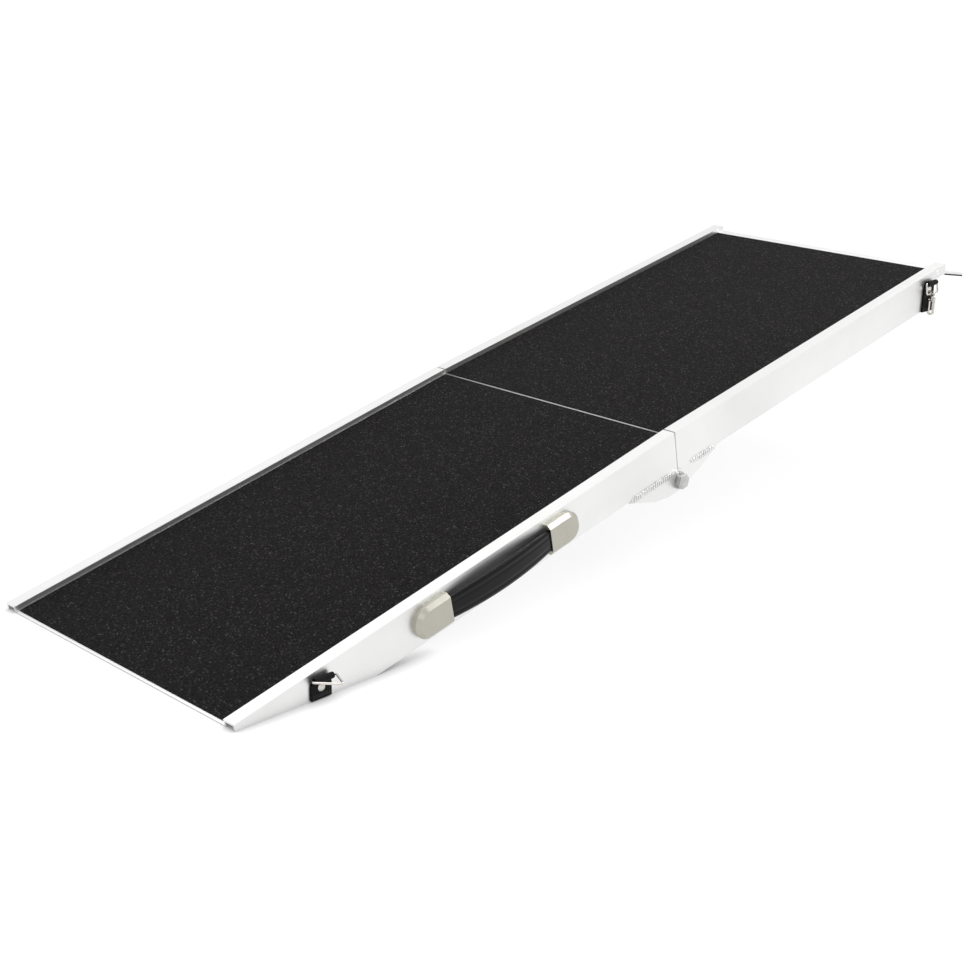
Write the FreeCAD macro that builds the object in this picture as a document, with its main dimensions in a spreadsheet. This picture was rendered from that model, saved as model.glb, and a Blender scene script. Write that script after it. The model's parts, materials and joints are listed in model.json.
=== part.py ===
import FreeCAD, Part
import math
import os

import Sketcher

# Folding dog ramp, 4 ft by 15 in, open and ready for use, in millimetres.
#
# Row frame: +Z is up, +X runs up the ramp and +Y to its left. The origin is the middle of the toe
# edge's ground face, so the ground is Z = 0 and the ramp slopes up by the angle of its toe bevel.
#
# Panel frame, used by every sketch: X along the panel from the toe end of the grip tape, Y to the
# left, Z square to the deck with 0 on top of the deck sheet. The upper panel uses the same X, which
# goes on past the fold, and is turned about the hinge by the crown angle.

SIZES = [
    # alias, value, meaning
    ("clear_width", 350.0, "walking width between the two curbs"),
    ("lower_length", 633.0, "toe end of the tape to the fold"),
    ("upper_length", 586.0, "fold to the top end of the rails"),
    ("rail_height", 46.4, "rail, top flange to foot"),
    ("rail_flange", 15.8, "curb face to the outside of the rail"),
    ("rail_wall", 2.2, "wall of the rail extrusion"),
    ("rail_foot", 14.0, "foot flange of the rail, with its wall"),
    ("curb_height", 6.4, "top flange above the deck sheet"),
    ("ledge_width", 22.0, "ledge of the rail under the deck sheet"),
    ("deck_thick", 2.0, "deck sheet"),
    ("deck_gap", 0.3, "deck sheet to curb, and to the fold"),
    ("butt_gap", 0.3, "between the two rails when they lie in line"),
    ("tape_thick", 0.8, "grip tape"),
    ("tape_side_lower", 1.5, "bare deck beside the lower tape"),
    ("tape_side_upper", 0.5, "bare deck beside the upper tape"),
    ("tape_fold", 1.0, "bare deck at the fold"),
    ("tape_top", 13.3, "bare deck at the top end"),
    ("toe_nose", 3.5, "toe metal ahead of the tape"),
    ("toe_thick", 2.0, "toe metal at the end of the tape"),
    ("toe_reach", 32.0, "toe edge under the deck sheet"),
    ("toe_rebate", 12.0, "top face of the toe edge before the deck sheet"),
    ("bevel_angle", 13.3, "underside of the toe to the deck"),
    ("crown_angle", 1.557, "upper panel below the line of the lower one"),
    ("boss_radius", 13.5, "hinge gusset round the bolt"),
    ("fold_clear", 0.4, "boss to the foot of the rail that turns round it"),
    ("gusset_length", 86.0, "hinge gusset along the rail"),
    ("gusset_thick", 4.0, "hinge gusset plate"),
    ("gusset_end", 2.5, "far end of the gusset"),
    ("gusset_knee_run", 43.0, "knee of the gusset from the bolt"),
    ("gusset_knee_rise", 6.4, "knee of the gusset above the boss's bottom"),
    ("gusset_heel_run", 22.0, "second knee of the gusset from the bolt"),
    ("gusset_heel_rise", 1.2, "second knee above the boss's bottom"),
    ("spacer_thick", 1.0, "nylon spacer between the gussets"),
    ("bolt_radius", 5.0, "M10 hinge bolt"),
    ("bolt_play", 0.05, "radial running clearance on the bolt"),
    ("bolt_tail", 2.0, "bolt past the nut"),
    ("hex_flats", 16.0, "across the flats of bolt head and nut"),
    ("head_thick", 6.4, "bolt head"),
    ("nut_thick", 10.0, "lock nut"),
    ("washer_radius", 10.4, "hinge washers and spacers"),
    ("washer_thick", 2.0, "hinge washers"),
    ("weld_start", 86.0, "start of the outer gusset weld from the fold"),
    ("weld_stop", 9.5, "end of the outer gusset weld from the fold"),
    ("weld_short", 50.0, "inner gusset weld"),
    ("weld_short_at", 22.0, "start of the inner gusset weld from the fold"),
    ("weld_height", 8.6, "weld bead across"),
    ("weld_low", 1.6, "middle of the weld bead below the rail's foot edge"),
    ("weld_proud", 2.0, "weld bead out of the rail"),
    ("tube_width", 25.0, "cross tube along the panel"),
    ("tube_height", 20.0, "cross tube below the ledge"),
    ("tube_wall", 1.5, "cross tube wall"),
    ("tube_lower_first", 185.0, "first lower cross tube from the toe"),
    ("tube_fold_gap", 60.0, "cross tube from the fold, on both panels"),
    ("tube_top_gap", 120.0, "last upper cross tube from the top end"),
    ("notch_length", 29.0, "top end where only the flange goes on"),
    ("notch_corner", 9.0, "corner of that notch"),
    ("tongue_thick", 3.0, "bent lip plate"),
    ("tongue_root", 66.0, "lip plate under the deck sheet"),
    ("tongue_reach", 49.0, "lip past the rails"),
    ("tongue_bend", 21.2, "lip below the deck"),
    ("pad_thick", 2.0, "rubber pad under the lip"),
    ("pad_start", 5.0, "rubber pad from the lip's bend"),
    ("rivet_radius", 2.0, "shank of every rivet"),
    ("rivet_play", 0.05, "radial clearance of rivets and screws"),
    ("rivet_flush", 4.5, "flush head in the deck sheet"),
    ("rivet_tail", 3.6, "formed head under the deck"),
    ("rivet_tail_thick", 1.2, "formed head"),
    ("rivet_edge", 11.0, "deck rivets from the curb"),
    ("block_length", 24.0, "end block inside the rail"),
    ("block_play", 0.2, "end block to the rail"),
    ("dome_radius", 3.4, "end rivet head"),
    ("dome_thick", 1.8, "end rivet head"),
    ("end_rivet_at", 20.0, "end rivet from the top end"),
    ("handle_from_tube", 42.5, "middle of the handle before the middle cross tube"),
    ("handle_span", 243.0, "handle over its two caps"),
    ("cap_length", 47.0, "handle cap"),
    ("cap_width", 35.6, "handle cap across the rail wall"),
    ("cap_thick", 9.4, "handle cap out of the rail wall"),
    ("cap_bevel", 4.2, "bevel round the cap's face"),
    ("cap_slot", 13.0, "strap inside the cap"),
    ("strap_play", 0.3, "strap in the cap's slot"),
    ("grip_thick", 6.2, "grip at its ends"),
    ("grip_lift", 2.0, "grip's back off the wall at its ends"),
    ("grip_bow", 4.4, "grip's middle further out than its ends"),
    ("grip_swell", 1.4, "grip's middle thicker than its ends"),
    ("grip_end_width", 25.0, "grip at its ends"),
    ("grip_mid_width", 29.0, "grip at its middle"),
    ("core_thick", 1.2, "spring steel core of the grip"),
    ("core_width", 16.0, "spring steel core of the grip"),
    ("screw_radius", 2.5, "handle screw"),
    ("screw_head", 4.6, "handle screw head"),
    ("screw_head_thick", 3.0, "handle screw head"),
    ("screw_bite", 6.5, "handle screw past the wall"),
    ("screw_in", 11.5, "outer screw from the cap's round end"),
    ("screw_pitch", 13.0, "between the two screws of a cap"),
    ("web_width", 25.0, "width of both webbing tabs"),
    ("web_thick", 2.4, "webbing tab, two layers"),
    ("web_lower_at", 95.2, "lower tab's rivet from the toe"),
    ("web_upper_at", 1173.7, "upper tab's rivet from the toe"),
    ("web_lower_drop", 18.0, "lower tab's rivet below the rail's top"),
    ("web_upper_drop", 19.3, "upper tab's rivet below the rail's top"),
    ("web_lower_foot", 11.5, "end of the lower tab below its rivet"),
    ("web_upper_foot", 30.5, "end of the upper tab below its rivet"),
    ("web_head", 3.0, "top of a tab above the ring wire's axis"),
    ("roll_lower_rise", 10.0, "lower ring wire's axis above the tab's rivet"),
    ("roll_upper_rise", 8.6, "upper ring wire's axis above the tab's rivet"),
    ("roll_width", 23.0, "loop of webbing along the ring's wire"),
    ("roll_radius", 3.3, "loop of webbing round the ring"),
    ("roll_out", 5.2, "ring wire's axis off the rail wall"),
    ("stud_radius", 4.5, "tab rivet head"),
    ("stud_thick", 2.2, "tab rivet head"),
    ("ring_wire", 1.15, "radius of the ring wire"),
    ("ring_play", 0.3, "ring wire in its loop"),
    ("triangle_reach", 29.0, "lower ring, axis to the far corner"),
    ("triangle_nose", 2.4, "bend radius at the far corner"),
    ("triangle_bend", 2.0, "bend radius at the near corners"),
    ("triangle_lift", 8.0, "lower ring above square to the wall"),
    ("square_reach", 14.0, "upper ring, axis to the far wire"),
    ("square_bend", 1.8, "bend radius of the upper ring"),
    ("square_tilt", 9.5, "upper ring out from the wall"),
    ("eye_radius", 3.2, "hook eye, to the middle of its wire"),
    ("eye_wire", 1.0, "radius of the hook eye's wire"),
    ("eye_play", 0.3, "hook eye to the ring's wire"),
    ("swivel_radius", 1.5, "swivel stem"),
    ("swivel_play", 0.08, "radial clearance of the swivel stem"),
    ("swivel_length", 3.0, "swivel stem through the hook's collar"),
    ("swivel_button", 2.3, "head of the swivel stem"),
    ("swivel_button_thick", 1.0, "head of the swivel stem"),
    ("hook_width", 9.6, "hook body across"),
    ("hook_length", 24.0, "hook body, collar to tip"),
    ("hook_thick", 3.6, "hook body"),
    ("hook_bar", 2.4, "sides of the hook body"),
    ("hook_collar", 2.4, "top of the hook body"),
    ("hook_bridge", 1.2, "bridge between the swivel head and the window"),
    ("gate_play", 0.2, "gate to hook body"),
    ("gate_pin", 0.6, "radius of the gate's pin"),
    ("gate_knuckle", 1.4, "round end of the gate about its pin, with its play"),
    ("gate_knuckle_thick", 1.6, "round end of the gate"),
    ("gate_step", 0.5, "bar of the gate below the hook body over it"),
]

doc = FreeCAD.newDocument("dog_ramp")
sheet = doc.addObject("Spreadsheet::Sheet", "sizes")
for row, (alias, number, meaning) in enumerate(SIZES, start=1):
    sheet.set(f"A{row}", meaning)
    sheet.set(f"B{row}", str(number))
    sheet.setAlias(f"B{row}", alias)
doc.recompute()

vec = FreeCAD.Vector
RIGHT, LEFT = -1, 1
SIDES = {"right": RIGHT, "left": LEFT}
THROUGH = "60"  # a cut longer than any plate it goes through
nodes = {}


def amount(text):
    """The number that an expression over the sheet has now."""
    return float(sheet.evalExpression(expression(text)))


def expression(text):
    """text with each size's name as an expression of the sheet."""
    for alias in sorted((entry[0] for entry in SIZES), key=len, reverse=True):
        text = text.replace(f"<{alias}>", f"sizes.{alias}")
    return text


# Heights and lengths that several pieces share, over the sheet's sizes
FOOT = "(<curb_height> - <rail_height>)"
LEDGE = "(-<deck_thick> - <rail_wall>)"
FOLD = "<lower_length>"
TOP_END = "(<lower_length> + <upper_length>)"
HALF = "(<clear_width> / 2)"
PIVOT = f"({FOOT} - <boss_radius> - <fold_clear>)"
BOSS_BOTTOM = f"({PIVOT} - <boss_radius>)"
TONGUE_TOP = LEDGE
INNER_WALL = "(<rail_flange> - <rail_wall>)"
HANDLE_Z = f"(({FOOT} + <curb_height>) / 2)"
CAP_OUTER = "(<handle_span> / 2)"
CAP_INNER = "(<handle_span> / 2 - <cap_length>)"


def bevel_at(along):
    """Height of the toe bevel at a place along the panel."""
    return f"(-<toe_thick> - ({along}) * tan(<bevel_angle>))"


# ---- frames of the two panels ----

lower_turn = FreeCAD.Rotation(vec(0, 1, 0), -amount("<bevel_angle>"))
ground_x = amount("(<toe_reach> - <toe_nose>) / 2")
ground_z = amount(bevel_at("(<toe_reach> - <toe_nose>) / 2"))
lower_frame = FreeCAD.Placement(lower_turn.multVec(vec(-ground_x, 0, -ground_z)), lower_turn)
pivot = vec(amount(FOLD), 0, amount(PIVOT))
crown = FreeCAD.Rotation(vec(0, 1, 0), amount("<crown_angle>"))
upper_frame = lower_frame * FreeCAD.Placement(vec(0, 0, 0), crown, pivot)


# ---- ways of making a sub-part ----


def new_body(label, frame):
    body = doc.addObject("PartDesign::Body", label)
    body.Label = label
    body.Placement = frame
    return body


def sketch_on(body, role, offset="0"):
    """A sketch on one of the body's own planes, moved along that plane's normal."""
    sketch = body.newObject("Sketcher::SketchObject", f"{body.Name}_sketch")
    plane = next(f for f in body.Origin.OriginFeatures if f.Role == role)
    sketch.AttachmentSupport = [(plane, "")]
    sketch.MapMode = "FlatFace"
    sketch.setExpression("AttachmentOffset.Base.z", expression(offset))
    return sketch


def tie(sketch, kind, edge, point, text):
    """Holds a point of the sketch, or a circle's radius, to an expression."""
    if kind == "Radius":
        rule = Sketcher.Constraint(kind, edge, amount(text))
    else:
        rule = Sketcher.Constraint(kind, -1, 1, edge, point, amount(text))
    number = sketch.addConstraint(rule)
    sketch.setExpression(f"Constraints[{number}]", expression(text))


def draw_outline(sketch, corners):
    """A closed outline of straight edges through corners given as pairs of expressions."""
    first = sketch.GeometryCount
    places = [vec(amount(a), amount(b), 0) for a, b in corners]
    count = len(corners)
    for i in range(count):
        sketch.addGeometry(Part.LineSegment(places[i], places[(i + 1) % count]), False)
    for i in range(count):
        after = first + (i + 1) % count
        sketch.addConstraint(Sketcher.Constraint("Coincident", first + i, 2, after, 1))
    for i, (across, up) in enumerate(corners):
        tie(sketch, "DistanceX", first + i, 1, across)
        tie(sketch, "DistanceY", first + i, 1, up)


def draw_circle(sketch, across, up, radius):
    centre = vec(amount(across), amount(up), 0)
    edge = sketch.addGeometry(Part.Circle(centre, vec(0, 0, 1), amount(radius)), False)
    tie(sketch, "DistanceX", edge, 3, across)
    tie(sketch, "DistanceY", edge, 3, up)
    tie(sketch, "Radius", edge, 0, radius)


def raise_pad(body, sketch, length, symmetric=False):
    pad = body.newObject("PartDesign::Pad", f"{body.Name}_pad")
    pad.Profile = sketch
    pad.SideType = "Symmetric" if symmetric else "One side"
    pad.setExpression("Length", expression(length))
    doc.recompute()
    return pad


def cut_through(body, sketch, length=THROUGH):
    """A cut both ways from the sketch's plane. It stops the build if it removes nothing."""
    before = body.Shape.Volume
    pocket = body.newObject("PartDesign::Pocket", f"{body.Name}_pocket")
    pocket.Profile = sketch
    pocket.Type = "Length"
    pocket.SideType = "Symmetric"
    pocket.setExpression("Length", expression(length))
    doc.recompute()
    if not body.Shape.Volume < before:
        raise ValueError(f"{body.Label}: a cut removed nothing")
    return pocket


def bar_along(label, frame, corners, start, length):
    """A bar of a Y-Z outline that runs along the panel from start."""
    body = new_body(label, frame)
    sketch = sketch_on(body, "YZ_Plane", start)
    draw_outline(sketch, corners)
    raise_pad(body, sketch, length)
    return body


def plate_across(label, frame, corners, centre_y, thick):
    """A plate of an X-Z outline, centred at centre_y, with its thickness across the panel."""
    body = new_body(label, frame)
    sketch = sketch_on(body, "XZ_Plane", f"-({centre_y})")
    draw_outline(sketch, corners)
    raise_pad(body, sketch, thick, symmetric=True)
    return body


def outward(side, distance):
    """Y of a place that is distance outward from the curb face of one rail."""
    return f"({side} * ({HALF} + {distance}))"


def holes_across(body, places, radius, centre_y, length=THROUGH):
    """Round holes along Y at X-Z places."""
    sketch = sketch_on(body, "XZ_Plane", f"-({centre_y})")
    for along, up in places:
        draw_circle(sketch, along, up, radius)
    cut_through(body, sketch, length)


def holes_down(body, places, radius):
    """Round holes along Z at X-Y places."""
    sketch = sketch_on(body, "XY_Plane")
    for along, across in places:
        draw_circle(sketch, along, across, radius)
    cut_through(body, sketch)


def disc(label, frame, along, up, centre_y, thick, radius, hole=None):
    """A round washer, pin or spacer with its axis along Y."""
    body = new_body(label, frame)
    sketch = sketch_on(body, "XZ_Plane", f"-({centre_y})")
    draw_circle(sketch, along, up, radius)
    raise_pad(body, sketch, thick, symmetric=True)
    if hole:
        holes_across(body, [(along, up)], hole, centre_y)
    return body


def hexagon(along, up, flats):
    """Corners of a hexagon with two level flats."""
    size = f"({flats} / 2 / cos(30))"
    return [
        (f"{along} + {size} * cos({60 * i})", f"{up} + {size} * sin({60 * i})") for i in range(6)
    ]


def keep(label, thing):
    """Enters a finished sub-part as a node."""
    thing.Label = label
    nodes[label] = thing
    return thing


def keep_group(label, members):
    """Enters identical pieces as one node of separate solids."""
    group = doc.addObject("Part::Compound", label)
    group.Links = members
    return keep(label, group)


def keep_solid(label, shape, frame):
    """Enters a shape made with Part's own functions, in a panel's frame."""
    feature = doc.addObject("Part::Feature", label)
    feature.Shape = shape
    feature.Placement = frame
    return keep(label, feature)


# ---- rails, decks and tape ----


def rail_outline(side):
    across = [
        ("<rail_flange>", FOOT),
        ("<rail_flange>", "<curb_height>"),
        ("0", "<curb_height>"),
        ("0", "-<deck_thick>"),
        ("-<ledge_width>", "-<deck_thick>"),
        ("-<ledge_width>", LEDGE),
        ("<rail_wall>", LEDGE),
        ("<rail_wall>", "<curb_height> - <rail_wall>"),
        (INNER_WALL, "<curb_height> - <rail_wall>"),
        (INNER_WALL, f"{FOOT} + <rail_wall>"),
        ("<rail_flange> - <rail_foot>", f"{FOOT} + <rail_wall>"),
        ("<rail_flange> - <rail_foot>", FOOT),
    ]
    return [(outward(side, f"({distance})"), height) for distance, height in across]


TUBES = 3


def tube_places(first, last):
    """Middles of a panel's cross tubes, evenly spaced from first to last."""
    return [f"({first} + ({last} - {first}) * {i} / {TUBES - 1})" for i in range(TUBES)]


LOWER_TUBES = tube_places("<tube_lower_first>", f"({FOLD} - <tube_fold_gap>)")
UPPER_TUBES = tube_places(f"({FOLD} + <tube_fold_gap>)", f"({TOP_END} - <tube_top_gap>)")


def deck_rivets(start, end, tubes):
    """Places of a panel's deck rivets: at both ends and two between neighbouring cross tubes."""
    rows = [start]
    for near, far in zip(tubes, tubes[1:]):
        rows += [f"({near} + ({far} - {near}) * {third} / 3)" for third in (1, 2)]
    rows.append(end)
    return [(row, outward(side, "(-<rivet_edge>)")) for row in rows for side in SIDES.values()]


LOWER_RIVETS = deck_rivets("(<toe_reach> + 25)", f"({FOLD} - 20)", LOWER_TUBES)
UPPER_RIVETS = deck_rivets(f"({FOLD} + 20)", f"({TOP_END} - <tongue_root> - 20)", UPPER_TUBES)
TONGUE_RIVETS = [
    (f"({TOP_END} - <tongue_root> + 18)", f"({HALF} * {share / 10})") for share in (-8, -4, 0, 4, 8)
]
HANDLE_MID = f"({LOWER_TUBES[1]} - <handle_from_tube>)"
HANDLE_SCREWS = [
    (f"({HANDLE_MID} + {end} * ({CAP_OUTER} - <screw_in> - {i} * <screw_pitch>))", HANDLE_Z)
    for end in (-1, 1)
    for i in (0, 1)
]
LOWER_STUD = ("<web_lower_at>", "(<curb_height> - <web_lower_drop>)")
UPPER_STUD = ("<web_upper_at>", "(<curb_height> - <web_upper_drop>)")
END_RIVET = (f"({TOP_END} - <end_rivet_at>)", f"((<curb_height> + {LEDGE}) / 2)")
RIVET_HOLE = "(<rivet_radius> + <rivet_play>)"


def drilled(places, side):
    """The rivet places that lie on one side."""
    return [place for place in places if amount(place[1]) * side > 0]


def lower_rail(label, side):
    length = "(<lower_length> + <toe_nose> - <butt_gap> / 2)"
    rail = bar_along(label, lower_frame, rail_outline(side), "-<toe_nose>", length)
    behind, ahead, under = "(-40)", "(<rail_height> / tan(<bevel_angle>) + 30)", "(-3 * <rail_height>)"
    bevel = sketch_on(rail, "XZ_Plane", f"-({outward(side, '0')})")
    corners = [(behind, bevel_at(behind)), (ahead, bevel_at(ahead)), (ahead, under), (behind, under)]
    draw_outline(bevel, corners)
    cut_through(rail, bevel, "2 * (<ledge_width> + <rail_flange>)")
    holes_down(rail, drilled(LOWER_RIVETS, side), RIVET_HOLE)
    wall_middle = outward(side, "(<rail_flange> - <rail_wall> / 2)")
    if side == RIGHT:
        holes_across(rail, HANDLE_SCREWS, "<screw_radius> + <rivet_play>", wall_middle, "2 * <rail_wall>")
        holes_across(rail, [LOWER_STUD], RIVET_HOLE, wall_middle, "2 * <rail_wall>")
    return keep(label, rail)


def upper_rail(label, side):
    start = "(<lower_length> + <butt_gap> / 2)"
    rail = bar_along(label, upper_frame, rail_outline(side), start, f"({TOP_END} - {start})")
    notch = sketch_on(rail, "XZ_Plane", f"-({outward(side, '0')})")
    wall_end, past, under = f"({TOP_END} - <notch_length>)", f"({TOP_END} + 20)", f"({FOOT} - 20)"
    corners = [
        (f"{wall_end} + <notch_corner>", LEDGE),
        (past, LEDGE),
        (past, under),
        (wall_end, under),
        (wall_end, f"{LEDGE} - <notch_corner>"),
    ]
    draw_outline(notch, corners)
    cut_through(rail, notch, "2 * (<ledge_width> + <rail_flange>)")
    holes_down(rail, drilled(UPPER_RIVETS + TONGUE_RIVETS, side), RIVET_HOLE)
    wall_middle = outward(side, "(<rail_flange> - <rail_wall> / 2)")
    holes_across(rail, [END_RIVET], RIVET_HOLE, wall_middle, "2 * <rail_wall>")
    if side == RIGHT:
        holes_across(rail, [UPPER_STUD], RIVET_HOLE, wall_middle, "2 * <rail_wall>")
    return keep(label, rail)


def sheet_piece(label, frame, start, end, bottom, thick, side_gap, holes=(), hole_radius="1"):
    """A flat sheet between the curbs."""
    body = new_body(label, frame)
    sketch = sketch_on(body, "XY_Plane", bottom)
    half = f"({HALF} - {side_gap})"
    corners = [(start, f"-{half}"), (end, f"-{half}"), (end, half), (start, half)]
    draw_outline(sketch, corners)
    raise_pad(body, sketch, thick)
    if holes:
        holes_down(body, holes, hole_radius)
    return keep(label, body)


for name, side in SIDES.items():
    lower_rail(f"lower_rail_{name}", side)
    upper_rail(f"upper_rail_{name}", side)

sheet_piece(
    "lower_deck", lower_frame, "<toe_rebate>", "(<lower_length> - <deck_gap>)",
    "-<deck_thick>", "<deck_thick>", "<deck_gap>", LOWER_RIVETS, "<rivet_flush>",
)
sheet_piece(
    "upper_deck", upper_frame, "(<lower_length> + <deck_gap>)", TOP_END,
    "-<deck_thick>", "<deck_thick>", "<deck_gap>", UPPER_RIVETS + TONGUE_RIVETS, "<rivet_flush>",
)
sheet_piece(
    "lower_grip_tape", lower_frame, "0", "(<lower_length> - <tape_fold>)",
    "0", "<tape_thick>", "<tape_side_lower>",
)
sheet_piece(
    "upper_grip_tape", upper_frame, "(<lower_length> + <tape_fold>)", f"({TOP_END} - <tape_top>)",
    "0", "<tape_thick>", "<tape_side_upper>",
)

toe_edge = plate_across(
    "toe_edge",
    lower_frame,
    [
        ("-<toe_nose>", "0"),
        ("-<toe_nose>", bevel_at("-<toe_nose>")),
        ("<toe_reach>", bevel_at("<toe_reach>")),
        ("<toe_reach>", "-<deck_thick>"),
        ("<toe_rebate>", "-<deck_thick>"),
        ("<toe_rebate>", "0"),
    ],
    "0",
    "2 * (<clear_width> / 2 - <ledge_width> - <deck_gap>)",
)
lip_over_ledges = sketch_on(toe_edge, "XZ_Plane")
draw_outline(
    lip_over_ledges,
    [
        ("-<toe_nose>", "0"),
        ("-<toe_nose>", bevel_at("-<toe_nose>")),
        ("0", "-<toe_thick>"),
        ("<toe_rebate>", "-<toe_thick>"),
        ("<toe_rebate>", "0"),
    ],
)
raise_pad(toe_edge, lip_over_ledges, "2 * (<clear_width> / 2 - <deck_gap>)", symmetric=True)
keep("toe_edge", toe_edge)


# ---- cross tubes ----


def cross_tube(label, frame, middle):
    """A rectangular tube from rail wall to rail wall, against the ledges' underside."""
    left, right = f"({middle} - <tube_width> / 2)", f"({middle} + <tube_width> / 2)"
    bottom = f"({LEDGE} - <tube_height>)"
    width = f"(2 * ({HALF} + {INNER_WALL}))"
    corners = [(left, bottom), (right, bottom), (right, LEDGE), (left, LEDGE)]
    tube = plate_across(label, frame, corners, "0", width)
    bore = sketch_on(tube, "XZ_Plane")
    near, far = f"({left} + <tube_wall>)", f"({right} - <tube_wall>)"
    low, high = f"({bottom} + <tube_wall>)", f"({LEDGE} - <tube_wall>)"
    draw_outline(bore, [(near, low), (far, low), (far, high), (near, high)])
    cut_through(tube, bore, f"1.1 * {width}")
    return keep(label, tube)


for number, place in enumerate(LOWER_TUBES, start=1):
    cross_tube(f"lower_cross_tube_{number}", lower_frame, place)
for number, place in enumerate(UPPER_TUBES, start=1):
    cross_tube(f"upper_cross_tube_{number}", upper_frame, place)


# ---- fold hinge ----

OUTER_PLATE = ("(<rail_flange> - <gusset_thick>)", "<rail_flange>")
INNER_PLATE = (
    "(<rail_flange> - 2 * <gusset_thick> - <spacer_thick>)",
    "(<rail_flange> - <gusset_thick> - <spacer_thick>)",
)


def middle(pair):
    return f"(({pair[0]} + {pair[1]}) / 2)"


def gusset(label, frame, side, way, plate):
    """A hinge gusset under the foot of a rail, on the side of the fold that way points to."""

    def run(distance):
        return f"({FOLD} + {way} * {distance})"

    corners = [
        (run("(<butt_gap> / 2)"), FOOT),
        (run("<gusset_length>"), FOOT),
        (run("<gusset_length>"), f"({FOOT} - <gusset_end>)"),
        (run("<gusset_knee_run>"), f"({BOSS_BOTTOM} + <gusset_knee_rise>)"),
        (run("<gusset_heel_run>"), f"({BOSS_BOTTOM} + <gusset_heel_rise>)"),
        (run("(<butt_gap> / 2)"), BOSS_BOTTOM),
    ]
    centre = outward(side, middle(plate))
    body = plate_across(label, frame, corners, centre, "<gusset_thick>")
    boss = sketch_on(body, "XZ_Plane", f"-({centre})")
    draw_circle(boss, FOLD, PIVOT, "<boss_radius>")
    raise_pad(body, boss, "<gusset_thick>", symmetric=True)
    holes_across(body, [(FOLD, PIVOT)], "(<bolt_radius> + <bolt_play>)", centre)
    return keep(label, body)


for name, side in SIDES.items():
    gusset(f"lower_gusset_{name}", lower_frame, side, -1, OUTER_PLATE)
    gusset(f"upper_gusset_{name}", upper_frame, side, 1, INNER_PLATE)


def hinge_part(label, side, low, high, radius, hole):
    """A washer or spacer on the hinge bolt, from low to high outward from the curb face."""
    centre = outward(side, f"(({low} + {high}) / 2)")
    return disc(label, lower_frame, FOLD, PIVOT, centre, f"({high} - {low})", radius, hole)


HEAD_SEAT = "(<rail_flange> + <washer_thick>)"
NUT_WASHER = (f"({INNER_PLATE[0]} - <washer_thick>)", INNER_PLATE[0])
NUT = (f"({NUT_WASHER[0]} - <nut_thick>)", NUT_WASHER[0])
BOLT_END = f"({NUT[0]} - <bolt_tail>)"
BOLT_HOLE = "(<bolt_radius> + <bolt_play>)"


def hinge_bolt(label, side):
    """The M10 hexagon bolt of one hinge."""
    head = (HEAD_SEAT, f"({HEAD_SEAT} + <head_thick>)")
    centre = outward(side, middle(head))
    body = plate_across(label, lower_frame, hexagon(FOLD, PIVOT, "<hex_flats>"), centre, "<head_thick>")
    shank = (BOLT_END, head[1])
    circle = sketch_on(body, "XZ_Plane", f"-({outward(side, middle(shank))})")
    draw_circle(circle, FOLD, PIVOT, "<bolt_radius>")
    raise_pad(body, circle, f"({shank[1]} - {shank[0]})", symmetric=True)
    return body


def hinge_nut(label, side):
    centre = outward(side, middle(NUT))
    body = plate_across(label, lower_frame, hexagon(FOLD, PIVOT, "<hex_flats>"), centre, "<nut_thick>")
    holes_across(body, [(FOLD, PIVOT)], BOLT_HOLE, centre)
    return body


bolts, nuts, washers, spacers = [], [], [], []
for name, side in SIDES.items():
    bolts.append(hinge_bolt(f"bolt_{name}", side))
    nuts.append(hinge_nut(f"nut_{name}", side))
    outer = ("<rail_flange>", HEAD_SEAT)
    for place, (low, high) in (("outer", outer), ("inner", NUT_WASHER)):
        washers.append(hinge_part(f"washer_{place}_{name}", side, low, high, "<washer_radius>", BOLT_HOLE))
    between = (INNER_PLATE[1], OUTER_PLATE[0])
    spacers.append(hinge_part(f"spacer_{name}", side, *between, "<washer_radius>", BOLT_HOLE))
keep_group("hinge_bolts", bolts)
keep_group("hinge_lock_nuts", nuts)
keep_group("hinge_washers", washers)
keep_group("hinge_spacers", spacers)


def weld_bead(label, frame, side, start, end):
    """A weld bead: a shallow arc of weld metal over the joint of the rail's foot and the gusset."""
    proud, half = amount("<weld_proud>"), amount("<weld_height> / 2")
    wall = amount(outward(side, "<rail_flange>"))
    height = amount(f"({FOOT} - <weld_low>)")
    arc = Part.Arc(
        vec(start, wall, height - half),
        vec(start, wall + side * proud, height),
        vec(start, wall, height + half),
    ).toShape()
    chord = Part.LineSegment(vec(start, wall, height + half), vec(start, wall, height - half)).toShape()
    face = Part.Face(Part.Wire([arc, chord]))
    bead = doc.addObject("Part::Feature", label)
    bead.Shape = face.extrude(vec(end - start, 0, 0))
    bead.Placement = frame
    return bead


for name, frame in (("lower", lower_frame), ("upper", upper_frame)):
    fold_at = amount(FOLD)
    if name == "lower":
        span = (fold_at - amount("<weld_start>"), fold_at - amount("<weld_stop>"))
    else:
        span = (fold_at + amount("<weld_short_at>"), fold_at + amount("<weld_short_at> + <weld_short>"))
    beads = [weld_bead(f"{name}_weld_{key}", frame, side, *span) for key, side in SIDES.items()]
    keep_group(f"{name}_gusset_welds", beads)


# ---- lip and its fixings ----


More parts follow.
